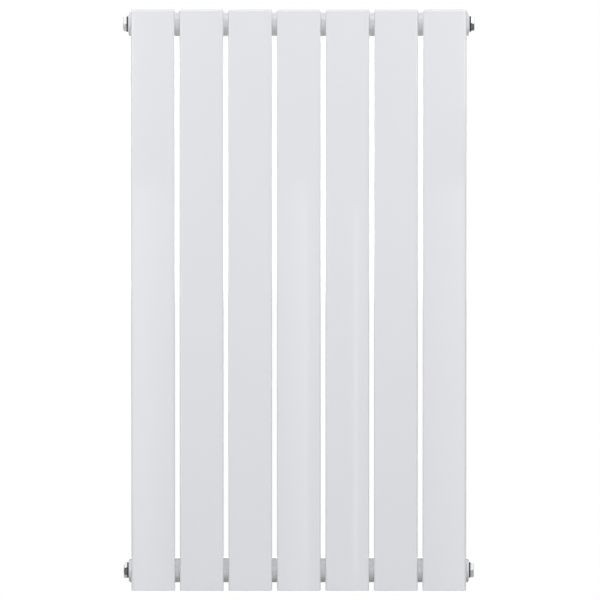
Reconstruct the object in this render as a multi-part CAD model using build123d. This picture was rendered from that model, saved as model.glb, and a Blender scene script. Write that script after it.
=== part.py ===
from build123d import *
import os
from math import sqrt

# Flat-panel hot-water radiator with an air vent, hung on four wall brackets.
# Millimetres. The origin is on the wall plane, in the middle of the wall fixing slots.
# X runs along the radiator, Y points into the wall so the panels face -Y, Z is up.

# Panels
PANEL_COUNT = 7
PANEL_WIDTH = 67.0
PANEL_DEPTH = 11.0
PANEL_HEIGHT = 900.0
PANEL_GAP = 7.2
PANEL_WALL = 1.5
PANEL_EDGE_RADIUS = 3.5

# Caps welded into the panel ends
CAP_EDGE_RADIUS = 1.0
CAP_RIM = 2.0
CAP_SPIGOT_DEPTH = 4.0
CAP_SPIGOT_WALL = 1.5

# Collectors
COLLECTOR_DIAMETER = 38.0
COLLECTOR_WALL = 2.0
COLLECTOR_INSET = 26.5
COLLECTOR_OVERHANG = 4.2
COLLECTOR_RIM_RADIUS = 3.0
COLLECTOR_END_LAND = 1.0
COLLECTOR_TO_WALL = 36.0
NECK_LENGTH = 2.0

# Nipples between the panels and the collectors
NIPPLE_DIAMETER = 20.0
NIPPLE_BORE = 16.0
NIPPLE_COLLAR_DIAMETER = 28.0
NIPPLE_PROTRUSION = 1.5

# Tapped bushes in the collector ends, half-inch pipe thread
TAPPING_DIAMETER = 20.955
BUSH_LENGTH = 16.0
BUSH_RIM_CHAMFER = 0.6

# Hexagonal fittings
SEAL_THICKNESS = 2.4
SEAL_WIDTH = 1.4
SEAL_EDGE_RADIUS = 0.7
HEX_SHOULDER = 0.5
HEX_LENGTH = 5.3
HEX_CORNER_ROUND = 1.0
HEX_CHAMFER_LENGTH = 1.5
HEX_CHAMFER_DEPTH = 2.4
SHANK_LENGTH = 11.0
SHANK_CHAMFER = 1.0
PLUG_DIMPLE_DIAMETER = 12.0
PLUG_DIMPLE_DEPTH = 0.8
HEX_TURN_TOP_LEFT = 9.0
HEX_TURN_BOTTOM_LEFT = 30.0
HEX_TURN_TOP_RIGHT = 46.0
HEX_TURN_BOTTOM_RIGHT = 52.0

# Air vent
VENT_RECESS_DIAMETER = 12.0
VENT_RECESS_DEPTH = 5.4
NEEDLE_SQUARE = 5.0
NEEDLE_SQUARE_LENGTH = 5.0
NEEDLE_THREAD_DIAMETER = 6.0
NEEDLE_THREAD_LENGTH = 5.2
NEEDLE_COLLAR_LENGTH = 0.7
NEEDLE_GROOVE_DEPTH = 0.8
NEEDLE_SEAL_SECTION = 1.5
NEEDLE_TIP_DIAMETER = 1.4
SEAT_BORE = 3.0
SEAT_CONE_LENGTH = 1.6
SEAT_CLEARANCE = 0.15
DISCHARGE_DIAMETER = 1.2
DISCHARGE_RADIUS = 5.2

# Wall brackets, pressed from flat steel
BRACKET_PLATE = 3.0
BRACKET_BEND_RADIUS = 1.5
BRACKET_CORNER_RADIUS = 4.0
BRACKET_REACH = 24.0
BRACKET_ABOVE_SLOT = 11.0
BRACKET_BELOW_SLOT = 22.0
BRACKET_LIP_HEIGHT = 17.0
BRACKET_PANEL_STEPS = 2
SLOT_LENGTH = 12.0
SLOT_WIDTH = 6.5
SLOT_SPACING = 32.0
SLOT_EDGE = 5.0

# Nylon pads pushed on to the bracket lips
PAD_THICKNESS = 2.0
PAD_SKIRT = 8.0
PAD_CHEEK = 2.0
PAD_CHEEK_HEIGHT = 2.5

# Hanger lugs welded to the collectors
LUG_WIDTH = 30.0
LUG_PLATE = 3.0
LUG_BEND_RADIUS = 1.5
LUG_CORNER_RADIUS = 4.0
LUG_TONGUE_GAP = 3.0
LUG_TONGUE_DEPTH = 12.0

# Clearances
FIT_CLEARANCE = 0.1
THREAD_CLEARANCE = 0.05
SEAL_CLEARANCE = 0.05
LUG_SIDE_CLEARANCE = 0.4

# Places that follow from the sizes above
PANEL_PITCH = PANEL_WIDTH + PANEL_GAP
PANELS_SPAN = (PANEL_COUNT - 1) * PANEL_PITCH + PANEL_WIDTH
COLLECTOR_RADIUS = COLLECTOR_DIAMETER / 2
COLLECTOR_BORE_RADIUS = COLLECTOR_RADIUS - COLLECTOR_WALL
COLLECTOR_LENGTH = PANELS_SPAN + 2 * COLLECTOR_OVERHANG
BUSH_RADIUS = COLLECTOR_RADIUS - COLLECTOR_RIM_RADIUS - COLLECTOR_END_LAND
COLLECTOR_Y = -COLLECTOR_TO_WALL - COLLECTOR_RADIUS
COLLECTOR_Z = PANEL_HEIGHT / 2 - COLLECTOR_INSET
PANEL_BACK_Y = COLLECTOR_Y - COLLECTOR_RADIUS - NECK_LENGTH
PANEL_Y = PANEL_BACK_Y - PANEL_DEPTH / 2
CAP_THICKNESS = CAP_EDGE_RADIUS + CAP_RIM
TUBE_LENGTH = PANEL_HEIGHT - 2 * CAP_THICKNESS
PORT_RADIUS = NIPPLE_DIAMETER / 2 + FIT_CLEARANCE
SHANK_DIAMETER = TAPPING_DIAMETER - 2 * THREAD_CLEARANCE
SEAL_BORE = TAPPING_DIAMETER + 2 * FIT_CLEARANCE
SEAL_DIAMETER = SEAL_BORE + 2 * SEAL_WIDTH
HEX_ACROSS_FLATS = TAPPING_DIAMETER + 2 * HEX_SHOULDER
HEX_START = SEAL_THICKNESS
HEX_END = HEX_START + HEX_LENGTH
HEX_CORNER_RADIUS = HEX_ACROSS_FLATS / sqrt(3)
VENT_RECESS_FLOOR = HEX_END - VENT_RECESS_DEPTH
NEEDLE_BORE_RADIUS = NEEDLE_THREAD_DIAMETER / 2 + THREAD_CLEARANCE
NEEDLE_GROOVE_DIAMETER = NEEDLE_THREAD_DIAMETER - 2 * NEEDLE_GROOVE_DEPTH
NEEDLE_SEAL_DIAMETER = NEEDLE_GROOVE_DIAMETER + 2 * NEEDLE_SEAL_SECTION
NEEDLE_COLLAR_DIAMETER = NEEDLE_SEAL_DIAMETER - 2 * FIT_CLEARANCE
NEEDLE_POCKET_RADIUS = NEEDLE_SEAL_DIAMETER / 2 + SEAL_CLEARANCE
NEEDLE_POCKET_LENGTH = NEEDLE_SEAL_SECTION + NEEDLE_COLLAR_LENGTH + 2 * FIT_CLEARANCE
NEEDLE_POCKET_FLOOR = VENT_RECESS_FLOOR - NEEDLE_POCKET_LENGTH
SEAT_TOP = NEEDLE_POCKET_FLOOR - NEEDLE_THREAD_LENGTH
SEAT_BOTTOM = SEAT_TOP - SEAT_CONE_LENGTH
BRACKET_X = BRACKET_PANEL_STEPS * PANEL_PITCH
BRACKET_WIDTH = SLOT_SPACING + SLOT_LENGTH + 2 * SLOT_EDGE
BRACKET_FLOOR = -BRACKET_BELOW_SLOT
LIP_FRONT_Y = -BRACKET_REACH
LIP_BACK_Y = LIP_FRONT_Y + BRACKET_PLATE
LIP_TOP = BRACKET_FLOOR + BRACKET_LIP_HEIGHT
SEAT_Z = LIP_TOP + PAD_THICKNESS
PAD_SEAT_WIDTH = LUG_WIDTH + 2 * LUG_SIDE_CLEARANCE
PAD_WIDTH = PAD_SEAT_WIDTH + 2 * PAD_CHEEK
TONGUE_FRONT_Y = LIP_BACK_Y + FIT_CLEARANCE + PAD_THICKNESS + LUG_TONGUE_GAP

# Corners of the radiator, as seen from the front
LEVELS = {"top": 1, "bottom": -1}
SIDES = {"left": -1, "right": 1}
VENT_CORNER = ("top", "right")
HEX_TURNS = {
    ("top", "left"): HEX_TURN_TOP_LEFT,
    ("bottom", "left"): HEX_TURN_BOTTOM_LEFT,
    ("top", "right"): HEX_TURN_TOP_RIGHT,
    ("bottom", "right"): HEX_TURN_BOTTOM_RIGHT,
}
BASE = (Align.CENTER, Align.CENTER, Align.MIN)


def panel_xs():
    """Middle of each panel, from left to right."""
    first = -(PANEL_COUNT - 1) / 2 * PANEL_PITCH
    return [first + i * PANEL_PITCH for i in range(PANEL_COUNT)]


def along_y(radius, y_from, y_to):
    """Round bar along Y."""
    bar = Cylinder(radius, abs(y_to - y_from))
    return Pos(0, (y_from + y_to) / 2, 0) * Rot(90, 0, 0) * bar


def along_x(radius, length):
    """Round bar along X, centred."""
    return Rot(0, 90, 0) * Cylinder(radius, length)


def ring(outer_radius, inner_radius, start, end):
    """Plain ring on the Z axis from start to end."""
    return Pos(0, 0, start) * extrude(Circle(outer_radius) - Circle(inner_radius), end - start)


def panel_tube():
    """Flat tube with a port in its back wall for each collector."""
    inner_radius = PANEL_EDGE_RADIUS - PANEL_WALL
    outer = RectangleRounded(PANEL_WIDTH, PANEL_DEPTH, PANEL_EDGE_RADIUS)
    inner = RectangleRounded(PANEL_WIDTH - 2 * PANEL_WALL, PANEL_DEPTH - 2 * PANEL_WALL, inner_radius)
    tube = Pos(0, PANEL_Y, -TUBE_LENGTH / 2) * extrude(outer - inner, TUBE_LENGTH)
    port = along_y(PORT_RADIUS, PANEL_Y, PANEL_BACK_Y + PANEL_WALL)
    for z in (-COLLECTOR_Z, COLLECTOR_Z):
        tube -= Pos(0, 0, z) * port
    return tube


def panel_cap():
    """Pressed cap, its rim on the tube end and its spigot inside the tube. Points up."""
    inset = PANEL_WALL + FIT_CLEARANCE
    width = PANEL_WIDTH - 2 * inset
    depth = PANEL_DEPTH - 2 * inset
    radius = PANEL_EDGE_RADIUS - inset
    plate = extrude(RectangleRounded(PANEL_WIDTH, PANEL_DEPTH, PANEL_EDGE_RADIUS), CAP_THICKNESS)
    plate = fillet(plate.faces().sort_by(Axis.Z)[-1].edges(), CAP_EDGE_RADIUS)
    hollow = Rectangle(width - 2 * CAP_SPIGOT_WALL, depth - 2 * CAP_SPIGOT_WALL)
    spigot = extrude(RectangleRounded(width, depth, radius) - hollow, -CAP_SPIGOT_DEPTH)
    return plate + spigot


def collector():
    """Round tube along X with rolled-in ends and a hole for each nipple in its front."""
    outside = along_x(COLLECTOR_RADIUS, COLLECTOR_LENGTH)
    inside = along_x(COLLECTOR_BORE_RADIUS, COLLECTOR_LENGTH - 2 * COLLECTOR_WALL)
    tube = fillet(outside.edges().filter_by(GeomType.CIRCLE), COLLECTOR_RIM_RADIUS)
    tube -= fillet(inside.edges().filter_by(GeomType.CIRCLE), COLLECTOR_RIM_RADIUS - COLLECTOR_WALL)
    tube -= along_x(BUSH_RADIUS + FIT_CLEARANCE, COLLECTOR_LENGTH)
    hole = along_y(PORT_RADIUS, -COLLECTOR_DIAMETER, 0)
    for x in panel_xs():
        tube -= Pos(x, 0, 0) * hole
    return Pos(0, COLLECTOR_Y, 0) * tube


def nipple():
    """Short pipe from a panel into a collector, with a collar saddled on the collector."""
    half = NIPPLE_DIAMETER / 2
    front = PANEL_BACK_Y - PANEL_WALL - NIPPLE_PROTRUSION
    back = COLLECTOR_Y - sqrt(COLLECTOR_BORE_RADIUS**2 - half**2) + NIPPLE_PROTRUSION
    saddle = Pos(0, COLLECTOR_Y, 0) * along_x(COLLECTOR_RADIUS + FIT_CLEARANCE, PANEL_WIDTH)
    collar = along_y(NIPPLE_COLLAR_DIAMETER / 2, PANEL_BACK_Y, COLLECTOR_Y) - saddle
    pipe = along_y(half, front, back)
    return collar + pipe - along_y(NIPPLE_BORE / 2, front, back)


def tapping_bush():
    """Ring welded into a collector end, bored for the pipe thread. Its outer face is at zero."""
    bush = ring(BUSH_RADIUS, TAPPING_DIAMETER / 2, -BUSH_LENGTH, 0)
    bore_rim = bush.faces().sort_by(Axis.Z)[-1].edges().sort_by(SortBy.RADIUS)[0]
    return chamfer(bore_rim, BUSH_RIM_CHAMFER)


def fitting_seal():
    """Rubber ring between a collector end and a hexagonal head."""
    seal = ring(SEAL_DIAMETER / 2, SEAL_BORE / 2, 0, SEAL_THICKNESS)
    rims = seal.edges().filter_by(GeomType.CIRCLE).group_by(SortBy.RADIUS)[-1]
    return fillet(rims, SEAL_EDGE_RADIUS)


def hex_head():
    """Hexagonal head with rounded corners, its outer rim turned to a chamfer."""
    outline = RegularPolygon(HEX_CORNER_RADIUS, 6)
    prism = extrude(fillet(outline.vertices(), HEX_CORNER_ROUND), HEX_LENGTH)
    turned = Pos(0, 0, HEX_LENGTH / 2) * Cylinder(HEX_CORNER_RADIUS, HEX_LENGTH)
    outer_rim = turned.edges().filter_by(GeomType.CIRCLE).sort_by(Axis.Z)[-1]
    turned = chamfer(outer_rim, HEX_CHAMFER_LENGTH, HEX_CHAMFER_DEPTH)
    return Pos(0, 0, HEX_START) * (prism & turned)


def shank():
    """Threaded shank below a hexagonal head, as a plain cylinder."""
    length = SHANK_LENGTH + HEX_START
    bar = Pos(0, 0, HEX_START - length / 2) * Cylinder(SHANK_DIAMETER / 2, length)
    return chamfer(bar.edges().filter_by(GeomType.CIRCLE).sort_by(Axis.Z)[0], SHANK_CHAMFER)


def blanking_plug():
    """Hexagonal plug with a shallow turned dimple in its face."""
    dimple = Pos(0, 0, HEX_END) * Cylinder(PLUG_DIMPLE_DIAMETER / 2, 2 * PLUG_DIMPLE_DEPTH)
    return hex_head() + shank() - dimple


def vent_body():
    """Hexagonal body with a key recess, a needle bore down to a conical seat and a discharge hole."""
    body = hex_head() + shank()
    profile = Polyline(
        (0, HEX_END),
        (VENT_RECESS_DIAMETER / 2, HEX_END),
        (VENT_RECESS_DIAMETER / 2, VENT_RECESS_FLOOR),
        (NEEDLE_POCKET_RADIUS, VENT_RECESS_FLOOR),
        (NEEDLE_POCKET_RADIUS, NEEDLE_POCKET_FLOOR),
        (NEEDLE_BORE_RADIUS, NEEDLE_POCKET_FLOOR),
        (NEEDLE_BORE_RADIUS, SEAT_TOP),
        (SEAT_BORE / 2, SEAT_BOTTOM),
        (SEAT_BORE / 2, -SHANK_LENGTH),
        (0, -SHANK_LENGTH),
        close=True,
    )
    body -= revolve(Plane.XZ * make_face(profile), Axis.Z)
    top = Vector(DISCHARGE_RADIUS, 0, VENT_RECESS_FLOOR + DISCHARGE_DIAMETER)
    bottom = Vector(NEEDLE_THREAD_DIAMETER / 2, 0, SEAT_TOP + DISCHARGE_DIAMETER / 2)
    drill = Plane(origin=bottom, z_dir=top - bottom) * Circle(DISCHARGE_DIAMETER / 2)
    return body - extrude(drill, (top - bottom).length)


def vent_needle():
    """Screw with a conical tip, a seal groove, a collar and a square end for the key."""
    thread = NEEDLE_THREAD_DIAMETER / 2
    tip = NEEDLE_TIP_DIAMETER / 2
    groove = NEEDLE_GROOVE_DIAMETER / 2
    cone_slope = SEAT_CONE_LENGTH / (NEEDLE_BORE_RADIUS - SEAT_BORE / 2)
    cone_top = SEAT_TOP + SEAT_CLEARANCE - (NEEDLE_BORE_RADIUS - thread) * cone_slope
    groove_floor = NEEDLE_POCKET_FLOOR + FIT_CLEARANCE
    collar_floor = groove_floor + NEEDLE_SEAL_SECTION
    collar_top = collar_floor + NEEDLE_COLLAR_LENGTH
    profile = Polyline(
        (0, cone_top - (thread - tip) * cone_slope),
        (tip, cone_top - (thread - tip) * cone_slope),
        (thread, cone_top),
        (thread, groove_floor),
        (groove, groove_floor),
        (groove, collar_floor),
        (NEEDLE_COLLAR_DIAMETER / 2, collar_floor),
        (NEEDLE_COLLAR_DIAMETER / 2, collar_top),
        (0, collar_top),
        close=True,
    )
    square = Rectangle(NEEDLE_SQUARE, NEEDLE_SQUARE)
    turned = revolve(Plane.XZ * make_face(profile), Axis.Z)
    return turned + Pos(0, 0, collar_top) * extrude(square, NEEDLE_SQUARE_LENGTH)


def needle_seal():
    """Rubber ring in the needle's groove."""
    section = NEEDLE_SEAL_SECTION / 2
    middle = NEEDLE_POCKET_FLOOR + FIT_CLEARANCE + section
    return Pos(0, 0, middle) * Torus(NEEDLE_GROOVE_DIAMETER / 2 + section, section - SEAL_CLEARANCE)


def wall_bracket():
    """Bent plate: a slotted leg on the wall, an arm and an upright lip. Slots are at height zero."""
    floor = BRACKET_FLOOR + BRACKET_PLATE
    outer_bends = [(0, BRACKET_FLOOR), (LIP_FRONT_Y, BRACKET_FLOOR)]
    inner_bends = [(LIP_BACK_Y, floor), (-BRACKET_PLATE, floor)]
    outline = Polyline(
        (0, BRACKET_ABOVE_SLOT),
        *outer_bends,
        (LIP_FRONT_Y, LIP_TOP),
        (LIP_BACK_Y, LIP_TOP),
        *inner_bends,
        (-BRACKET_PLATE, BRACKET_ABOVE_SLOT),
        close=True,
    )
    profile = bend(make_face(outline), outer_bends, inner_bends, BRACKET_BEND_RADIUS, BRACKET_PLATE)
    plate = extrude(Plane.YZ * profile, BRACKET_WIDTH / 2, both=True)
    tops = plate.edges().filter_by(Axis.Y).filter_by(lambda e: e.center().Z > BRACKET_FLOOR + BRACKET_PLATE)
    plate = fillet(tops, BRACKET_CORNER_RADIUS)
    slot = Plane.XZ * SlotOverall(SLOT_LENGTH, SLOT_WIDTH)
    for x in (-SLOT_SPACING / 2, SLOT_SPACING / 2):
        plate -= Pos(x, 0, 0) * extrude(slot, BRACKET_PLATE, both=True)
    return plate


def bend(profile, outer_bends, inner_bends, inner_radius, plate):
    """Round the corners of a bent plate's profile, outside and inside each bend."""
    for corners, radius in ((outer_bends, inner_radius + plate), (inner_bends, inner_radius)):
        for y, z in corners:
            corner = profile.vertices().sort_by_distance(Vector(y, z, 0))[0]
            profile = fillet(corner, radius)
    return profile


def bracket_pad():
    """Nylon channel over a bracket lip, with a cheek at each end to centre the lug."""
    front = LIP_FRONT_Y - FIT_CLEARANCE - PAD_THICKNESS
    back = LIP_BACK_Y + FIT_CLEARANCE + PAD_THICKNESS
    depth = back - front
    middle = (front + back) / 2
    block = Box(PAD_WIDTH, depth, PAD_SKIRT + PAD_THICKNESS + PAD_CHEEK_HEIGHT, align=BASE)
    lip = Box(PAD_WIDTH, depth - 2 * PAD_THICKNESS, PAD_SKIRT, align=BASE)
    seat = Box(PAD_SEAT_WIDTH, depth, PAD_CHEEK_HEIGHT, align=BASE)
    pad = block - lip - Pos(0, 0, PAD_SKIRT + PAD_THICKNESS) * seat
    return Pos(0, middle, LIP_TOP - PAD_SKIRT) * pad


def hanger_lug():
    """Bent plate on the back of a collector, its tongue hanging behind the bracket lip."""
    back = TONGUE_FRONT_Y + LUG_PLATE
    top = SEAT_Z + LUG_PLATE
    tongue_end = SEAT_Z - LUG_TONGUE_DEPTH
    outline = Polyline(
        (COLLECTOR_Y, top),
        (back, top),
        (back, tongue_end),
        (TONGUE_FRONT_Y, tongue_end),
        (TONGUE_FRONT_Y, SEAT_Z),
        (COLLECTOR_Y, SEAT_Z),
        close=True,
    )
    bends = [(back, top)], [(TONGUE_FRONT_Y, SEAT_Z)]
    profile = bend(make_face(outline), *bends, LUG_BEND_RADIUS, LUG_PLATE)
    plate = extrude(Plane.YZ * profile, LUG_WIDTH / 2, both=True)
    ends = plate.edges().filter_by(Axis.Y).group_by(Axis.Z)[0]
    plate = fillet(ends, LUG_CORNER_RADIUS)
    return plate - Pos(0, COLLECTOR_Y, 0) * along_x(COLLECTOR_RADIUS + FIT_CLEARANCE, PANEL_WIDTH)


def at_corner(shape, side, level, turn=0):
    """Place a fitting made on the Z axis at a collector end. Side and level are -1 or 1."""
    end = (side * COLLECTOR_LENGTH / 2, COLLECTOR_Y, level * COLLECTOR_Z)
    seat = Plane(origin=end, x_dir=(0, -1, 0), z_dir=(side, 0, 0))
    return seat.location * Rot(0, 0, turn) * shape


def save(name, shape):
    """Write one named piece, or one group of identical pieces."""
    export_step(shape, f"parts/{name}.step")


def save_panels():
    """Tubes and their caps, numbered from left to right."""
    tube = panel_tube()
    cap_top = Pos(0, PANEL_Y, TUBE_LENGTH / 2) * panel_cap()
    cap_bottom = Pos(0, PANEL_Y, -TUBE_LENGTH / 2) * Rot(180, 0, 0) * panel_cap()
    for number, x in enumerate(panel_xs(), 1):
        save(f"panel_tube_{number}", Pos(x, 0, 0) * tube)
        save(f"panel_cap_top_{number}", Pos(x, 0, 0) * cap_top)
        save(f"panel_cap_bottom_{number}", Pos(x, 0, 0) * cap_bottom)


def save_collectors():
    """Collectors and the nipples that join the panels to them."""
    tube = collector()
    one_nipple = nipple()
    for level, sign in LEVELS.items():
        save(f"collector_{level}", Pos(0, 0, sign * COLLECTOR_Z) * tube)
        nipples = [Pos(x, 0, sign * COLLECTOR_Z) * one_nipple for x in panel_xs()]
        save(f"collector_nipples_{level}", Compound(children=nipples))


def save_fittings():
    """End bushes, plugs with their seals, and the air vent."""
    for level, level_sign in LEVELS.items():
        for side, side_sign in SIDES.items():
            corner = (side_sign, level_sign, HEX_TURNS[level, side])
            save(f"tapping_bush_{level}_{side}", at_corner(tapping_bush(), *corner))
            if (level, side) == VENT_CORNER:
                save("vent_body_seal", at_corner(fitting_seal(), *corner))
                save("vent_body", at_corner(vent_body(), *corner))
                save("vent_needle", at_corner(vent_needle(), *corner))
                save("vent_needle_seal", at_corner(needle_seal(), *corner))
            else:
                save(f"plug_seal_{level}_{side}", at_corner(fitting_seal(), *corner))
                save(f"blanking_plug_{level}_{side}", at_corner(blanking_plug(), *corner))


def save_hangers():
    """Lugs on the collectors, and the brackets and pads that carry them."""
    for level, level_sign in LEVELS.items():
        for side, side_sign in SIDES.items():
            place = Pos(side_sign * BRACKET_X, 0, level_sign * COLLECTOR_Z)
            save(f"hanger_lug_{level}_{side}", place * hanger_lug())
            save(f"wall_bracket_{level}_{side}", place * wall_bracket())
            save(f"bracket_pad_{level}_{side}", place * bracket_pad())


os.makedirs("parts", exist_ok=True)
save_panels()
save_collectors()
save_fittings()
save_hangers()
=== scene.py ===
"""Looks of a flat-panel radiator with an air vent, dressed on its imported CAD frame."""
import logging
import math
from collections.abc import Callable, Iterable
from dataclasses import dataclass
from enum import Enum

import bmesh
import bpy
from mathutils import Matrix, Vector


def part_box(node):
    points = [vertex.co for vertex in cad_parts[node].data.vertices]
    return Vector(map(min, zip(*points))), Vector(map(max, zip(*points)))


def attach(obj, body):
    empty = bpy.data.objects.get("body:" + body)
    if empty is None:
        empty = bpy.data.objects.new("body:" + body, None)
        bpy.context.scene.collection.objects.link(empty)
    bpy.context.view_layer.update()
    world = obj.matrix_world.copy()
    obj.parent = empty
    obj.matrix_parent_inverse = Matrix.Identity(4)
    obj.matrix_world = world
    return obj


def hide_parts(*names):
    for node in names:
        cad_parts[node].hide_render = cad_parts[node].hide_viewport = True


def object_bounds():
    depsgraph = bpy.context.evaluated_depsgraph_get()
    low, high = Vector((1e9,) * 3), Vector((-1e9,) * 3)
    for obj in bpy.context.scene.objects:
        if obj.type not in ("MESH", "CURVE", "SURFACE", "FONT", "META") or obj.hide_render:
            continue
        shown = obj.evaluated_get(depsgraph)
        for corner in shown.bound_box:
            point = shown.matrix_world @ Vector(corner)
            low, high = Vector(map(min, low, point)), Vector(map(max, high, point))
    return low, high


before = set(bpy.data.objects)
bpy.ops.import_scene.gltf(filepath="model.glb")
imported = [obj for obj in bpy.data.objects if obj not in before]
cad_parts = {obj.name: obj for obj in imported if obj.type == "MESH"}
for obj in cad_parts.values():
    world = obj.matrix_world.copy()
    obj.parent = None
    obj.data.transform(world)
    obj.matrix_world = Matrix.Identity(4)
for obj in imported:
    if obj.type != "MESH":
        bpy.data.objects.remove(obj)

LOG = logging.getLogger("radiator")
MM = 0.001
CAD_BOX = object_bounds()
WHITE = (1.0, 1.0, 1.0, 1.0)

Pair = tuple[float, float]
Triple = tuple[float, float, float]
Seam = Callable[[float], Vector]


class Body(Enum):
    """Rigid bodies that pieces ride on."""

    RADIATOR = "radiator"
    BRACKETS = "wall_brackets"
    NEEDLE = "needle"


class Slot(Enum):
    """Material slots of the record."""

    COATING = "white_coating"
    BRACKET = "bracket_coating"
    CHROME = "chrome"
    BRASS = "brass"
    RUBBER = "rubber"
    NYLON = "nylon"


class Level(Enum):
    """Upper or lower collector."""

    TOP = "top"
    BOTTOM = "bottom"


class Side(Enum):
    """Left or right end."""

    LEFT = "left"
    RIGHT = "right"

    @property
    def sign(self) -> int:
        """Give the sign of X at this end."""
        return -1 if self is Side.LEFT else 1


def corner_name(level: Level, side: Side) -> str:
    """Name a corner as the CAD nodes do."""
    return f"{level.value}_{side.value}"


CORNERS: tuple[str, ...] = tuple(corner_name(level, side) for level in Level for side in Side)
VENT_CORNER = corner_name(Level.TOP, Side.RIGHT)
PLUG_CORNERS: tuple[str, ...] = tuple(corner for corner in CORNERS if corner != VENT_CORNER)


def alike(value: float) -> Triple:
    """Repeat one value three times, for an even grain or a grey."""
    return (value, value, value)


@dataclass(frozen=True)
class Grain:
    """Noise in a piece's own space.

    Attributes:
        waves: Number of waves per metre along X, Y and Z.
        detail: Octaves of finer noise.
    """

    waves: Triple
    detail: float = 2.0


@dataclass(frozen=True)
class Relief:
    """Relief of a surface.

    Attributes:
        grain: Noise that gives the heights.
        depth: Height of the relief in metres.
        strength: Share of the relief that is used.
    """

    grain: Grain
    depth: float
    strength: float


class Shader:
    """A node tree under construction, with short calls to add and join nodes."""

    def __init__(self, tree: bpy.types.NodeTree) -> None:
        """Start with an empty tree.

        Args:
            tree: The node tree of a material or world.
        """
        self.tree = tree
        tree.nodes.clear()

    def add(
        self, kind: str, settings: dict[str, object] | None = None, **inputs: object
    ) -> bpy.types.Node:
        """Add a node.

        Args:
            kind: Blender's node type.
            settings: Properties of the node itself.
            **inputs: Values or output sockets by input name, spaces written as underscores.

        Returns:
            The new node.
        """
        node = self.tree.nodes.new(kind)
        for name, value in (settings or {}).items():
            setattr(node, name, value)
        for name, value in inputs.items():
            self.feed(node.inputs[name.replace("_", " ")], value)
        return node

    def feed(self, socket: bpy.types.NodeSocket, value: object) -> None:
        """Link an output to a socket, or set the socket's own value.

        Args:
            socket: Input of a node.
            value: Value or output socket.
        """
        if isinstance(value, bpy.types.NodeSocket):
            self.tree.links.new(value, socket)
        else:
            socket.default_value = value

    def math(self, operation: str, first: object, second: object = 0.0) -> bpy.types.NodeSocket:
        """Join two numbers with one arithmetic operation.

        Args:
            operation: Blender's name of the operation.
            first: Number or output socket.
            second: Number or output socket.

        Returns:
            The result's socket.
        """
        node = self.add("ShaderNodeMath", {"operation": operation})
        self.feed(node.inputs[0], first)
        self.feed(node.inputs[1], second)
        return node.outputs[0]

    def span(self, value: object, given: Pair, wanted: Pair) -> bpy.types.NodeSocket:
        """Map a range of numbers smoothly on to another.

        Args:
            value: Number or output socket.
            given: Start and end of the incoming range.
            wanted: Results at that start and end.

        Returns:
            The result's socket.
        """
        node = self.add("ShaderNodeMapRange", {"interpolation_type": "SMOOTHSTEP"}, Value=value)
        for name, number in zip(("From Min", "From Max", "To Min", "To Max"), (*given, *wanted)):
            node.inputs[name].default_value = number
        return node.outputs["Result"]

    def noise(self, grain: Grain) -> bpy.types.NodeSocket:
        """Make noise in the piece's own space.

        Args:
            grain: Waves and detail of the noise.

        Returns:
            The noise value's socket, from 0 to 1.
        """
        place = self.add("ShaderNodeTexCoord").outputs["Object"]
        scaled = self.add("ShaderNodeMapping", Vector=place, Scale=grain.waves).outputs["Vector"]
        noise = self.add("ShaderNodeTexNoise", Vector=scaled, Scale=1.0, Detail=grain.detail)
        return noise.outputs["Fac"]

    def tint(self, amount: object, dark: Triple, light: Triple) -> bpy.types.NodeSocket:
        """Make a colour that varies between two tints.

        Args:
            amount: Number or output socket from 0 to 1.
            dark: Linear colour at 0.
            light: Linear colour at 1.

        Returns:
            The colour's socket.
        """
        ramp = self.add("ShaderNodeValToRGB", Fac=amount)
        ramp.color_ramp.elements[0].color = (*dark, 1.0)
        ramp.color_ramp.elements[1].color = (*light, 1.0)
        return ramp.outputs["Color"]

    def bump(self, relief: Relief, under: bpy.types.NodeSocket | None = None) -> bpy.types.NodeSocket:
        """Raise a relief on the surface.

        Args:
            relief: Grain, depth and strength of the relief.
            under: Normal of a coarser relief below this one.

        Returns:
            The normal's socket.
        """
        height = self.noise(relief.grain)
        node = self.add("ShaderNodeBump", Height=height, Distance=relief.depth, Strength=relief.strength)
        if under is not None:
            self.feed(node.inputs["Normal"], under)
        return node.outputs["Normal"]


def new_material(name: str) -> tuple[bpy.types.Material, Shader]:
    """Make an empty node material.

    Args:
        name: Name of the material.

    Returns:
        The material and its shader tree.
    """
    material = bpy.data.materials.new(name)
    material.use_nodes = True
    return material, Shader(material.node_tree)


def surface(shader: Shader, **inputs: object) -> None:
    """Finish a material with one principled surface.

    Args:
        shader: Tree of the material.
        **inputs: Inputs of the surface, spaces written as underscores.
    """
    principled = shader.add("ShaderNodeBsdfPrincipled", **inputs)
    shader.add("ShaderNodeOutputMaterial", Surface=principled.outputs["BSDF"])


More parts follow.
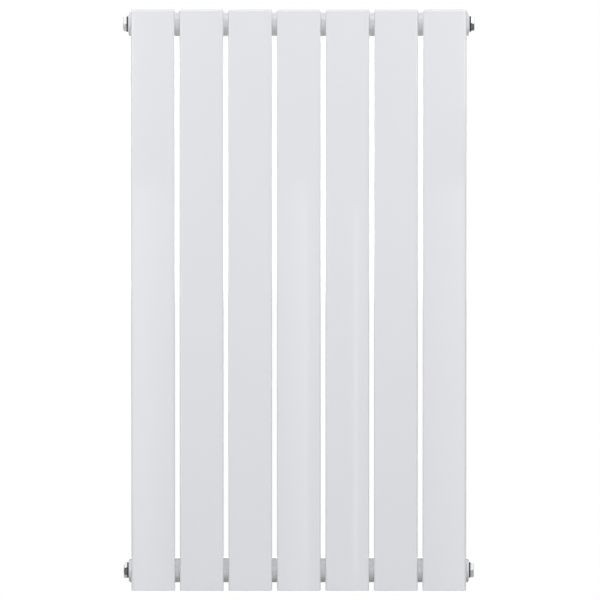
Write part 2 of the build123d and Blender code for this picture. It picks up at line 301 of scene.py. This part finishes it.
@dataclass(frozen=True)
class PowderCoat:
    """Satin white powder coat on steel: orange peel, fine grain and faint waves of the formed sheet."""

    name: str
    dark: Triple
    light: Triple
    roughness: Pair = (0.34, 0.44)
    gloss: Grain = Grain((60.0, 60.0, 20.0))
    gloss_span: Pair = (0.3, 0.7)
    coat: float = 1.0
    coat_roughness: float = 0.075
    cloud: Grain = Grain((9.0, 9.0, 3.0))
    waves: Relief = Relief(Grain((26.0, 26.0, 1.1), 0.0), 0.04 * MM, 1.0)
    peel: Relief = Relief(Grain(alike(420.0), 1.0), 0.008 * MM, 0.5)
    grain: Relief = Relief(Grain(alike(2600.0), 1.0), 0.0015 * MM, 0.4)

    def material(self) -> bpy.types.Material:
        """Build the finish.

        Returns:
            The new material.
        """
        material, shader = new_material(self.name)
        peel = shader.bump(self.peel, shader.bump(self.waves))
        surface(
            shader,
            Base_Color=shader.tint(shader.noise(self.cloud), self.dark, self.light),
            Roughness=shader.span(shader.noise(self.gloss), self.gloss_span, self.roughness),
            Coat_Weight=self.coat,
            Coat_Roughness=self.coat_roughness,
            Normal=shader.bump(self.grain, peel),
        )
        return material


@dataclass(frozen=True)
class BrightPlate:
    """Chrome plate on turned brass, with hairline polishing marks."""

    name: str = "bright_chrome_plate"
    dark: Triple = (0.47, 0.475, 0.485)
    light: Triple = (0.56, 0.565, 0.575)
    roughness: Pair = (0.05, 0.13)
    gloss: Grain = Grain(alike(320.0), 3.0)
    gloss_span: Pair = (0.3, 0.75)
    cloud: Grain = Grain(alike(180.0))
    waves: Relief = Relief(Grain(alike(90.0), 0.0), 0.12 * MM, 1.0)
    marks: Relief = Relief(Grain((3200.0, 260.0, 260.0), 3.0), 0.0006 * MM, 0.35)

    def material(self) -> bpy.types.Material:
        """Build the finish.

        Returns:
            The new material.
        """
        material, shader = new_material(self.name)
        surface(
            shader,
            Base_Color=shader.tint(shader.noise(self.cloud), self.dark, self.light),
            Metallic=1.0,
            Roughness=shader.span(shader.noise(self.gloss), self.gloss_span, self.roughness),
            Normal=shader.bump(self.marks, shader.bump(self.waves)),
        )
        return material


@dataclass(frozen=True)
class TurnedBrass:
    """Plain turned brass, a little dulled."""

    name: str = "turned_brass"
    dark: Triple = (0.42, 0.27, 0.10)
    light: Triple = (0.70, 0.50, 0.22)
    roughness: Pair = (0.22, 0.40)
    stain: Grain = Grain(alike(700.0), 4.0)
    stain_span: Pair = (0.3, 0.7)
    marks: Relief = Relief(Grain((5000.0, 300.0, 300.0), 2.0), 0.010 * MM, 0.5)

    def material(self) -> bpy.types.Material:
        """Build the finish.

        Returns:
            The new material.
        """
        material, shader = new_material(self.name)
        stain = shader.noise(self.stain)
        surface(
            shader,
            Base_Color=shader.tint(stain, self.dark, self.light),
            Metallic=1.0,
            Roughness=shader.span(stain, self.stain_span, self.roughness),
            Normal=shader.bump(self.marks),
        )
        return material


@dataclass(frozen=True)
class MouldedStuff:
    """Moulded rubber or nylon: a fine moulded skin with uneven gloss."""

    name: str
    dark: Triple
    light: Triple
    roughness: Pair
    skin: Relief
    soft: float = 0.0
    soft_reach: float = 1.0 * MM
    cloud: Grain = Grain(alike(240.0), 3.0)
    cloud_span: Pair = (0.3, 0.7)

    def material(self) -> bpy.types.Material:
        """Build the finish.

        Returns:
            The new material.
        """
        material, shader = new_material(self.name)
        cloud = shader.noise(self.cloud)
        surface(
            shader,
            Base_Color=shader.tint(cloud, self.dark, self.light),
            Roughness=shader.span(cloud, self.cloud_span, self.roughness),
            Subsurface_Weight=self.soft,
            Subsurface_Scale=self.soft_reach,
            Normal=shader.bump(self.skin),
        )
        return material


class Finishes:
    """All finishes of the radiator, one material for each record slot."""

    def __init__(self) -> None:
        """Build every material once."""
        white = PowderCoat("satin_white_coat", dark=(0.781, 0.783, 0.805), light=(0.801, 0.803, 0.825))
        bracket = PowderCoat(
            "bracket_white_coat",
            dark=(0.70, 0.71, 0.72),
            light=(0.76, 0.77, 0.78),
            roughness=(0.42, 0.55),
        )
        rubber = MouldedStuff(
            "black_seal_rubber",
            dark=(0.012, 0.012, 0.013),
            light=(0.028, 0.028, 0.029),
            roughness=(0.55, 0.75),
            skin=Relief(Grain(alike(1800.0)), 0.012 * MM, 0.6),
        )
        nylon = MouldedStuff(
            "natural_nylon",
            dark=(0.66, 0.65, 0.61),
            light=(0.74, 0.735, 0.70),
            roughness=(0.38, 0.52),
            skin=Relief(Grain(alike(1400.0)), 0.010 * MM, 0.6),
            soft=0.15,
        )
        self.by_slot: dict[Slot, bpy.types.Material] = {
            Slot.COATING: white.material(),
            Slot.BRACKET: bracket.material(),
            Slot.CHROME: BrightPlate().material(),
            Slot.BRASS: TurnedBrass().material(),
            Slot.RUBBER: rubber.material(),
            Slot.NYLON: nylon.material(),
        }

    def dress_node(self, node: str, slot: Slot) -> None:
        """Give a CAD node its finish.

        Args:
            node: Name of the CAD node.
            slot: Material slot of the record.
        """
        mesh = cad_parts[node].data
        mesh.materials.clear()
        mesh.materials.append(self.by_slot[slot])
        LOG.info("dressed %s as %s", node, slot.value)

    def dress_piece(self, piece: bpy.types.Object, slot: Slot, body: Body) -> None:
        """Give a new piece its finish and the body that it rides on.

        Args:
            piece: The new object.
            slot: Material slot of the record.
            body: Rigid body that carries it.
        """
        piece.data.materials.append(self.by_slot[slot])
        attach(piece, body.value)
        LOG.info("built %s as %s on %s", piece.name, slot.value, body.value)


def link_mesh(name: str, shape: bmesh.types.BMesh, smooth: bool = True) -> bpy.types.Object:
    """Turn a finished bmesh into an object of the scene.

    Args:
        name: Name of the object.
        shape: The bmesh, which is freed.
        smooth: Whether its faces are shaded smooth.

    Returns:
        The new object.
    """
    mesh = bpy.data.meshes.new(name)
    bmesh.ops.recalc_face_normals(shape, faces=shape.faces)
    for face in shape.faces:
        face.smooth = smooth
    shape.to_mesh(mesh)
    shape.free()
    piece = bpy.data.objects.new(name, mesh)
    bpy.context.scene.collection.objects.link(piece)
    return piece


@dataclass(frozen=True)
class EdgeBreak:
    """Small round on the sharp edges of a machined, pressed or moulded piece.

    Attributes:
        width: Width of the round.
        segments: Number of faces across the round.
        sharp_from: Angle from which an edge is sharp.
        join_within: Distance at which corners of the CAD mesh are taken as one.
        flat_within: Angle up to which neighbouring faces are taken as one.
    """

    width: float
    segments: int = 3
    sharp_from: float = math.radians(28.0)
    join_within: float = 0.02 * MM
    flat_within: float = math.radians(0.5)

    def soften(self, node: str, name: str) -> bpy.types.Object:
        """Copy a CAD node with its sharp edges broken, and let the copy stand for it.

        Args:
            node: Name of the CAD node.
            name: Name of the new piece.

        Returns:
            The new object.
        """
        shape = bmesh.new()
        shape.from_mesh(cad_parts[node].data)
        bmesh.ops.remove_doubles(shape, verts=shape.verts, dist=self.join_within)
        bmesh.ops.dissolve_limit(
            shape,
            angle_limit=self.flat_within,
            verts=shape.verts,
            edges=shape.edges,
            use_dissolve_boundaries=False,
        )
        piece = link_mesh(name, shape)
        bevel = piece.modifiers.new("edge_break", "BEVEL")
        bevel.width = self.width
        bevel.segments = self.segments
        bevel.limit_method = "ANGLE"
        bevel.angle_limit = self.sharp_from
        piece.modifiers.new("flat_faces", "WEIGHTED_NORMAL")
        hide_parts(node)
        return piece


@dataclass(frozen=True)
class WeldBead:
    """Fillet weld laid along a seam, with the ripples of the moving arc.

    Attributes:
        beside: Direction that the seam never runs along.
        radius: Mean radius of the bead.
        ripple: Height of the ripples as a share of the radius.
        ripple_mean: Part of a ripple that lies below the mean radius.
        ripple_pitch: Distance from one ripple to the next.
        fewest_ripples: Least number of ripples on a seam.
        step: Distance from one ring of the skin to the next.
        fewest_rings: Least number of steps on a seam.
        around: Number of vertices in a ring.
        look_ahead: Share of the seam that gives the direction at a point.
        taper: Power of the curve that rounds an open end, higher for a blunter end.
        end_least: Square of the radius left at an open end, as a share.
    """

    beside: Triple = (0.0, 1.0, 0.0)
    radius: float = 1.5 * MM
    ripple: float = 0.12
    ripple_mean: float = 0.5
    ripple_pitch: float = 1.9 * MM
    fewest_ripples: int = 3
    step: float = 0.45 * MM
    fewest_rings: int = 8
    around: int = 12
    look_ahead: float = 0.002
    taper: int = 12
    end_least: float = 0.05

    def lay(self, shape: bmesh.types.BMesh, path: Seam, length: float, closed: bool) -> None:
        """Add one bead to a bmesh.

        Args:
            shape: The bmesh that takes the bead.
            path: Point of the seam for a share from 0 to 1.
            length: Length of the seam in metres.
            closed: Whether the seam runs back into its start.
        """
        count = max(self.fewest_rings, round(length / self.step))
        shares = [i / count for i in range(count if closed else count + 1)]
        rings = [self._ring(shape, path, share, length, closed) for share in shares]
        if closed:
            rings.append(rings[0])
        else:
            shape.faces.new(rings[0])
            shape.faces.new(rings[-1])
        for one, two in zip(rings, rings[1:]):
            for k in range(self.around):
                after = (k + 1) % self.around
                shape.faces.new((one[k], one[after], two[after], two[k]))

    def _ring(
        self, shape: bmesh.types.BMesh, path: Seam, share: float, length: float, closed: bool
    ) -> list[bmesh.types.BMVert]:
        """Make one ring of the bead's skin.

        Args:
            shape: The bmesh that takes the ring.
            path: Point of the seam for a share from 0 to 1.
            share: Place along the seam.
            length: Length of the seam in metres.
            closed: Whether the seam has no ends.

        Returns:
            The vertices of the ring.
        """
        tangent = (path(share + self.look_ahead) - path(share - self.look_ahead)).normalized()
        across = tangent.cross(Vector(self.beside)).normalized()
        other = tangent.cross(across)
        ripples = max(self.fewest_ripples, round(length / self.ripple_pitch))
        phase = share * ripples % 1.0
        swell = math.sqrt(abs(math.sin(math.pi * phase))) - self.ripple_mean
        radius = self.radius * (1.0 + self.ripple * swell)
        if not closed:
            radius *= math.sqrt(max(self.end_least, 1.0 - abs(2.0 * share - 1.0) ** self.taper))
        centre = path(share)
        ring = []
        for k in range(self.around):
            turn = math.tau * k / self.around
            outward = math.cos(turn) * across + math.sin(turn) * other
            ring.append(shape.verts.new(centre + radius * outward))
        return ring


def on_circle(radius: float, share: float) -> Pair:
    """Give the two coordinates of a point on a circle, for a share of the turn."""
    return radius * math.cos(math.tau * share), radius * math.sin(math.tau * share)


def straight(start: Vector, run: Vector) -> Seam:
    """Give the seam that runs straight on from a start."""
    return lambda share: start + run * share


@dataclass
class PanelBank:
    """The row of flat panels with their end caps."""

    finishes: Finishes
    count: int = 7

    def __post_init__(self) -> None:
        """Read the middle of each panel and the plane of their backs from the frame."""
        boxes = [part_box(f"panel_tube_{number}") for number in range(1, self.count + 1)]
        self.middles = [(low.x + high.x) / 2.0 for low, high in boxes]
        self.back = boxes[0][1].y

    def dress(self) -> None:
        """Coat every tube and cap."""
        for number in range(1, self.count + 1):
            for kind in ("tube", "cap_top", "cap_bottom"):
                self.finishes.dress_node(f"panel_{kind}_{number}", Slot.COATING)


@dataclass
class Collector:
    """One round collector with its nipples, end bushes and welds.

    Attributes:
        finishes: Finishes of the radiator.
        panels: Panels that the collector joins.
        level: Upper or lower collector.
        collar_radius: Radius of the seams round a nipple's collar.
        bush_radius: Radius of the seam round an end bush.
        bead: Weld round a collar.
        end_bead: Weld round an end bush.
        end_sink: Depth of the end seam behind the collector's end.
    """

    finishes: Finishes
    panels: PanelBank
    level: Level
    collar_radius: float = 14.0 * MM
    bush_radius: float = 15.0 * MM
    bead: WeldBead = WeldBead()
    end_bead: WeldBead = WeldBead(
        beside=(1.0, 0.0, 0.0), radius=0.75 * MM, ripple=0.08, ripple_pitch=1.4 * MM, around=10
    )
    end_sink: float = 0.5 * MM

    def __post_init__(self) -> None:
        """Read the collector's axis, radius and length from the frame."""
        low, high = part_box(f"collector_{self.level.value}")
        self.axis = (low + high) / 2.0
        self.radius = (high.z - low.z) / 2.0
        self.half_length = (high.x - low.x) / 2.0

    def dress(self) -> None:
        """Coat the CAD nodes of the collector."""
        name = self.level.value
        self.finishes.dress_node(f"collector_{name}", Slot.COATING)
        self.finishes.dress_node(f"collector_nipples_{name}", Slot.COATING)
        for side in Side:
            self.finishes.dress_node(f"tapping_bush_{corner_name(self.level, side)}", Slot.COATING)

    def weld(self) -> None:
        """Lay the beads round the nipple collars and the end bushes."""
        name = self.level.value
        collar_length = math.tau * self.collar_radius
        seams = bmesh.new()
        for x in self.panels.middles:
            self.bead.lay(seams, self._saddle_seam(x), collar_length, closed=True)
            self.bead.lay(seams, self._panel_seam(x), collar_length, closed=True)
        self.finishes.dress_piece(link_mesh(f"nipple_welds_{name}", seams), Slot.COATING, Body.RADIATOR)
        rings = bmesh.new()
        for side in Side:
            self.end_bead.lay(rings, self._end_seam(side), math.tau * self.bush_radius, closed=True)
        self.finishes.dress_piece(link_mesh(f"bush_welds_{name}", rings), Slot.COATING, Body.RADIATOR)

    def _saddle_seam(self, x: float) -> Seam:
        """Give the seam between a collar and the collector.

        Args:
            x: Middle of the panel.

        Returns:
            Point of the seam for a share from 0 to 1.
        """
        def path(share: float) -> Vector:
            """Give a point of the seam.

            Args:
                share: Place along the seam.

            Returns:
                The point on the collector's skin.
            """
            along, rise = on_circle(self.collar_radius, share)
            depth = math.sqrt(self.radius**2 - rise**2)
            return self.axis + Vector((x - self.axis.x + along, -depth, rise))

        return path

    def _panel_seam(self, x: float) -> Seam:
        """Give the seam between a collar and a panel's back.

        Args:
            x: Middle of the panel.

        Returns:
            Point of the seam for a share from 0 to 1.
        """
        def path(share: float) -> Vector:
            """Give a point of the seam."""
            along, rise = on_circle(self.collar_radius, share)
            return Vector((x + along, self.panels.back, self.axis.z + rise))

        return path

    def _end_seam(self, side: Side) -> Seam:
        """Give the seam between an end bush and the collector.

        Args:
            side: End of the collector.

        Returns:
            Point of the seam for a share from 0 to 1.
        """
        end = side.sign * (self.half_length - self.end_sink)

        def path(share: float) -> Vector:
            """Give a point of the seam."""
            back, rise = on_circle(self.bush_radius, share)
            return self.axis + Vector((end, back, rise))

        return path


@dataclass
class CornerFittings:
    """Blanking plugs with their seals, and the air vent."""

    finishes: Finishes
    head_break: EdgeBreak = EdgeBreak(0.25 * MM)
    needle_break: EdgeBreak = EdgeBreak(0.15 * MM)

    def build(self) -> None:
        """Build and dress every fitting."""
        for corner in PLUG_CORNERS:
            plug = self.head_break.soften(f"blanking_plug_{corner}", f"polished_plug_{corner}")
            self.finishes.dress_piece(plug, Slot.CHROME, Body.RADIATOR)
            self.finishes.dress_node(f"plug_seal_{corner}", Slot.RUBBER)
        self.finishes.dress_node("vent_body_seal", Slot.RUBBER)
        self.finishes.dress_node("vent_needle_seal", Slot.RUBBER)
        vent = self.head_break.soften("vent_body", "polished_vent")
        self.finishes.dress_piece(vent, Slot.CHROME, Body.RADIATOR)
        needle = self.needle_break.soften("vent_needle", "bleed_needle")
        self.finishes.dress_piece(needle, Slot.BRASS, Body.NEEDLE)


@dataclass
class WallHangers:
    """Wall brackets with their pads, and the lugs that hook on them.

    Attributes:
        finishes: Finishes of the radiator.
        collectors: Collectors that carry the lugs.
        lug_plate: Thickness of a lug's plate.
        plate_break: Round on the edges of brackets and lugs.
        pad_break: Round on the edges of the pads.
        bead: Weld along a lug's root.
    """

    finishes: Finishes
    collectors: dict[Level, Collector]
    lug_plate: float = 3.0 * MM
    plate_break: EdgeBreak = EdgeBreak(0.45 * MM)
    pad_break: EdgeBreak = EdgeBreak(0.5 * MM)
    bead: WeldBead = WeldBead(radius=1.6 * MM, ripple=0.14)

    def build(self) -> None:
        """Build and dress the four hangers."""
        for level in Level:
            for side in Side:
                corner = corner_name(level, side)
                bracket = self.plate_break.soften(f"wall_bracket_{corner}", f"pressed_bracket_{corner}")
                self.finishes.dress_piece(bracket, Slot.BRACKET, Body.BRACKETS)
                pad = self.pad_break.soften(f"bracket_pad_{corner}", f"moulded_pad_{corner}")
                self.finishes.dress_piece(pad, Slot.NYLON, Body.BRACKETS)
                lug = self.plate_break.soften(f"hanger_lug_{corner}", f"pressed_lug_{corner}")
                self.finishes.dress_piece(lug, Slot.COATING, Body.RADIATOR)
                self._weld_lug(corner, self.collectors[level])

    def _weld_lug(self, corner: str, collector: Collector) -> None:
        """Lay a bead above and below a lug's root.

        Args:
            corner: Corner of the radiator.
            collector: Collector that carries the lug.
        """
        low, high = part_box(f"hanger_lug_{corner}")
        run = Vector((high.x - low.x - 2.0 * self.bead.radius, 0.0, 0.0))
        seams = bmesh.new()
        for z in (high.z, high.z - self.lug_plate):
            depth = math.sqrt(collector.radius**2 - (z - collector.axis.z) ** 2)
            start = Vector((low.x + self.bead.radius, collector.axis.y + depth, z))
            self.bead.lay(seams, straight(start, run), run.length, closed=False)
        self.finishes.dress_piece(link_mesh(f"lug_weld_{corner}", seams), Slot.COATING, Body.RADIATOR)


@dataclass(frozen=True)
class PhotoView:
    """Camera that sees the radiator as the photograph does, square on and from a little above.

    Attributes:
        elevation: Height of the camera as an angle.
        distance: Distance from the radiator's front in metres.
        frame_px: Width and height of the photograph in pixels.
        top_px: Row of the panels' upper edge.
        bottom_px: Row of the panels' lower edge.
        middle_px: Column of the radiator's middle.
        sensor: Width of the camera's sensor in millimetres.
        clip_reach: Farthest distance that is drawn, as a multiple of the distance.
    """

    elevation: float = math.radians(10.0)
    distance: float = 40.0
    frame_px: float = 600.0
    top_px: float = 10.3
    bottom_px: float = 590.8
    middle_px: float = 298.8
    sensor: float = 36.0
    clip_reach: float = 2.5

    def place(self) -> None:
        """Make the scene's camera."""
        low, high = CAD_BOX
        target = Vector(((low.x + high.x) / 2.0, low.y, (low.z + high.z) / 2.0))
        half = (high.z - low.z) / 2.0
        rise = half * math.cos(self.elevation)
        lean = half * math.sin(self.elevation)
        spread = rise / (self.distance - lean) + rise / (self.distance + lean)
        focal_px = (self.bottom_px - self.top_px) / spread
        metres = self.distance / focal_px
        skew = focal_px * (rise / (self.distance - lean) - rise / (self.distance + lean)) / 2.0
        up = Vector((0.0, math.sin(self.elevation), math.cos(self.elevation)))
        back = Vector((0.0, -math.cos(self.elevation), math.sin(self.elevation)))
        middle_y = (self.top_px + self.bottom_px) / 2.0 + skew
        target += Vector(((self.frame_px / 2.0 - self.middle_px) * metres, 0.0, 0.0))
        target += up * (middle_y - self.frame_px / 2.0) * metres
        data = bpy.data.cameras.new("photo_view")
        data.sensor_width = self.sensor
        data.lens = focal_px * self.sensor / self.frame_px
        data.clip_end = self.clip_reach * self.distance
        camera = bpy.data.objects.new("photo_view", data)
        camera.location = target + back * self.distance
        camera.rotation_mode = "QUATERNION"
        camera.rotation_quaternion = (-back).to_track_quat("-Z", "Y")
        bpy.context.scene.collection.objects.link(camera)
        bpy.context.scene.camera = camera


@dataclass(frozen=True)
class Softbox:
    """Rectangular studio light aimed at a point of the radiator."""

    name: str
    place: Triple
    aim: Triple
    size: Pair
    watts: float

    def light(self) -> None:
        """Add the light to the scene."""
        data = bpy.data.lights.new(self.name, "AREA")
        data.shape = "RECTANGLE"
        data.size, data.size_y = self.size
        data.energy = self.watts
        lamp = bpy.data.objects.new(self.name, data)
        lamp.location = self.place
        lamp.rotation_mode = "QUATERNION"
        lamp.rotation_quaternion = (Vector(self.aim) - Vector(self.place)).to_track_quat("-Z", "Y")
        bpy.context.scene.collection.objects.link(lamp)


class Hang(Enum):
    """Ways to hang a card, each as its turn about X from upright."""

    UPRIGHT = 0.0
    OVERHEAD = math.radians(90.0)


Slit = tuple[float, float, float, float]


def louvre(
    open_side: float, shut_side: float, low: float = -0.70, high: float = -0.02, count: int = 7
) -> tuple[Slit, ...]:
    """Make slits that narrow from one side to the other, so that the reflection fades.

    Args:
        open_side: X of the side where the card is open.
        shut_side: X of the side where the card is shut.
        low: Lower end of the slits.
        high: Upper end of the slits.
        count: Number of slits.

    Returns:
        The left, right, lower and upper edge of each slit, from the open side on.
    """
    pitch = (shut_side - open_side) / count
    edges = [(open_side + k * pitch, open_side + (k + 1.0 - k / count) * pitch) for k in range(count)]
    return tuple((min(pair), max(pair), low, high) for pair in edges)


@dataclass(frozen=True)
class StudioCard:
    """Card with open slits that only reflections show.

    A dark card shades the gloss and the metal, and a bright one is a strip light.
    """

    name: str
    place: Triple
    size: Pair
    tone: float
    hang: Hang = Hang.UPRIGHT
    slits: tuple[Slit, ...] = ()

    def stand(self) -> None:
        """Add the card to the stage."""
        card = link_mesh(self.name, self._sheet(), smooth=False)
        card.location = self.place
        card.rotation_euler.x = self.hang.value
        material, shader = new_material(f"{self.name}_tone")
        plain = shader.add("ShaderNodeEmission", Color=(*alike(self.tone), 1.0), Strength=1.0)
        shader.add("ShaderNodeOutputMaterial", Surface=plain.outputs["Emission"])
        card.data.materials.append(material)
        for ray in ("camera", "diffuse", "transmission", "volume_scatter", "shadow"):
            setattr(card, f"visible_{ray}", False)

    def _sheet(self) -> bmesh.types.BMesh:
        """Cut the card along its slits.

        Returns:
            The card's faces, upright about its middle.
        """
        half_width, half_height = (length / 2.0 for length in self.size)
        across = sorted({-half_width, half_width, *(edge for slit in self.slits for edge in slit[:2])})
        upward = sorted({-half_height, half_height, *(edge for slit in self.slits for edge in slit[2:])})
        sheet = bmesh.new()
        for left, right in zip(across, across[1:]):
            for low, high in zip(upward, upward[1:]):
                if not self._is_open(left, right, low, high):
                    corners = ((left, low), (right, low), (right, high), (left, high))
                    sheet.faces.new([sheet.verts.new((x, 0.0, z)) for x, z in corners])
        return sheet

    def _is_open(self, left: float, right: float, low: float, high: float) -> bool:
        """Tell whether a cell of the card lies in a slit."""
        return any(a <= left and right <= b and c <= low and high <= d for a, b, c, d in self.slits)


FRONT_SLITS: tuple[Slit, ...] = (
    (-0.7500, -0.2580, -0.55, 0.72),
    (0.2580, 0.7500, 0.09, 0.72),
    *louvre(-0.2560, -0.1900),
    *louvre(0.0140, -0.0330),
    (0.0850, 0.0905, -0.66, -0.06),
    *louvre(0.2560, 0.1900),
)
RADIATOR_MIDDLE: Triple = (0.0, -0.06, 0.0)


@dataclass
class Studio:
    """White studio: floor, soft surround, cards for the reflections, lamps and the camera.

    Attributes:
        floor_drop: Distance from the radiator's lower edge down to the floor.
        floor_half: Half of the floor's width.
        floor_lit: Tone of the floor for the light that it throws back.
        floor_seen: Tone of the floor as the camera and the reflections show it.
        shadow_fade: Distances from the origin between which the floor turns plain white.
        surround_span: Part of each direction's range over which the surround changes.
        surround_height: Strength of the surround from below and from above.
        surround_depth: Strength of the surround from in front and from behind.
        surround_tint: Colour of the surround's light.
        cards: Cards that the gloss and the metal reflect.
        lamps: Lamps round the radiator.
        view: Camera of the photograph.
    """

    floor_drop: float = 0.15
    floor_half: float = 12.0
    floor_lit: float = 0.11
    floor_seen: float = 0.92
    shadow_fade: Pair = (0.32, 0.66)
    surround_span: Pair = (-0.9, 0.9)
    surround_height: Pair = (0.10, 0.75)
    surround_depth: Pair = (1.20, 0.30)
    surround_tint: Triple = (0.97, 0.98, 1.0)
    cards: tuple[StudioCard, ...] = (
        StudioCard("front_card", (0.0, -0.4, 0.15), (1.5, 1.44), 0.19, slits=FRONT_SLITS),
        StudioCard("ceiling_card", (0.0, 1.9, 2.9), (8.0, 4.2), 0.24, Hang.OVERHEAD),
        StudioCard("inner_strip", (0.0120, -0.41, -0.21), (0.004, 0.60), 1.7),
        StudioCard("outer_strip", (0.0882, -0.41, -0.18), (0.0035, 0.60), 2.4),
    )
    lamps: tuple[Softbox, ...] = (
        Softbox("key_box", (0.0, -3.6, 0.8), RADIATOR_MIDDLE, (3.4, 2.4), 69.0),
        Softbox("left_box", (-2.8, -2.3, 0.35), RADIATOR_MIDDLE, (1.5, 1.9), 9.0),
        Softbox("right_box", (2.8, -2.3, 0.35), RADIATOR_MIDDLE, (1.5, 1.9), 9.0),
        Softbox("top_box", (0.0, -0.95, 2.5), RADIATOR_MIDDLE, (2.8, 1.4), 10.0),
        Softbox("hair_box", (0.0, -0.05, 1.05), (0.0, -0.05, 0.0), (0.7, 0.3), 0.3),
        Softbox("rim_box", (0.0, 0.32, 0.80), (0.0, -0.06, 0.43), (0.9, 0.2), 0.85),
        Softbox("back_box", (0.0, 3.0, -0.2), (0.0, -0.06, -0.1), (2.4, 0.7), 36.0),
    )
    view: PhotoView = PhotoView()

    def build(self) -> None:
        """Build the whole studio."""
        self._grade()
        self._floor()
        self._world()
        for card in self.cards:
            card.stand()
        for lamp in self.lamps:
            lamp.light()
        self.view.place()

    def _grade(self) -> None:
        """Show colours as they are."""
        bpy.context.scene.view_settings.view_transform = "Standard"

    def _seen(self, shader: Shader) -> bpy.types.NodeSocket:
        """Mark the rays that show the background itself.

        Args:
            shader: Tree that needs the mark.

        Returns:
            Socket that is 1 for camera, glossy and transmission rays.
        """
        rays = shader.add("ShaderNodeLightPath").outputs
        seen = shader.math("MAXIMUM", rays["Is Camera Ray"], rays["Is Glossy Ray"])
        return shader.math("MAXIMUM", seen, rays["Is Transmission Ray"])

    def _floor(self) -> None:
        """Lay a pale floor that keeps the shadow near the radiator and is plain white farther off."""
        shape = bmesh.new()
        bmesh.ops.create_grid(shape, x_segments=1, y_segments=1, size=self.floor_half)
        floor = link_mesh("studio_floor", shape, smooth=False)
        floor.location.z = CAD_BOX[0].z - self.floor_drop
        material, shader = new_material("studio_floor_white")
        seen = self._seen(shader)
        place = shader.add("ShaderNodeNewGeometry").outputs["Position"]
        keep_xy = (1.0, 1.0, 0.0)
        flat = shader.add("ShaderNodeVectorMath", {"operation": "MULTIPLY"})
        shader.feed(flat.inputs[0], place)
        shader.feed(flat.inputs[1], keep_xy)
        reach = shader.add("ShaderNodeVectorMath", {"operation": "LENGTH"})
        shader.feed(reach.inputs[0], flat.outputs["Vector"])
        far = shader.span(reach.outputs["Value"], self.shadow_fade, (0.0, 1.0))
        paint = shader.tint(seen, alike(self.floor_lit), alike(self.floor_seen))
        matt = shader.add("ShaderNodeBsdfDiffuse", Color=paint)
        glow = shader.add("ShaderNodeEmission", Color=WHITE, Strength=1.0)
        mix = shader.add("ShaderNodeMixShader", Fac=shader.math("MULTIPLY", far, seen))
        shader.feed(mix.inputs[1], matt.outputs["BSDF"])
        shader.feed(mix.inputs[2], glow.outputs["Emission"])
        shader.add("ShaderNodeOutputMaterial", Surface=mix.outputs["Shader"])
        floor.data.materials.append(material)

    def _world(self) -> None:
        """Surround the scene with white that gives a soft light, stronger from above and in front."""
        world = bpy.data.worlds.new("studio_white")
        world.use_nodes = True
        bpy.context.scene.world = world
        shader = Shader(world.node_tree)
        way = shader.add("ShaderNodeTexCoord").outputs["Generated"]
        parts = shader.add("ShaderNodeSeparateXYZ", Vector=way).outputs
        by_height = shader.span(parts["Z"], self.surround_span, self.surround_height)
        by_depth = shader.span(parts["Y"], self.surround_span, self.surround_depth)
        strength = shader.math("MULTIPLY", by_height, by_depth)
        soft = shader.add("ShaderNodeBackground", Color=(*self.surround_tint, 1.0), Strength=strength)
        white = shader.add("ShaderNodeBackground", Color=WHITE, Strength=1.0)
        mix = shader.add("ShaderNodeMixShader", Fac=self._seen(shader))
        shader.feed(mix.inputs[1], soft.outputs["Background"])
        shader.feed(mix.inputs[2], white.outputs["Background"])
        shader.add("ShaderNodeOutputWorld", Surface=mix.outputs["Shader"])


def main() -> None:
    """Build and dress every sub-assembly, then the studio."""
    logging.basicConfig(level=logging.INFO, format="%(message)s")
    finishes = Finishes()
    panels = PanelBank(finishes)
    panels.dress()
    collectors: dict[Level, Collector] = {}
    for level in Level:
        collector = Collector(finishes, panels, level)
        collector.dress()
        collector.weld()
        collectors[level] = collector
    CornerFittings(finishes).build()
    WallHangers(finishes, collectors).build()
    Studio().build()


if __name__ == "__main__":
    main()
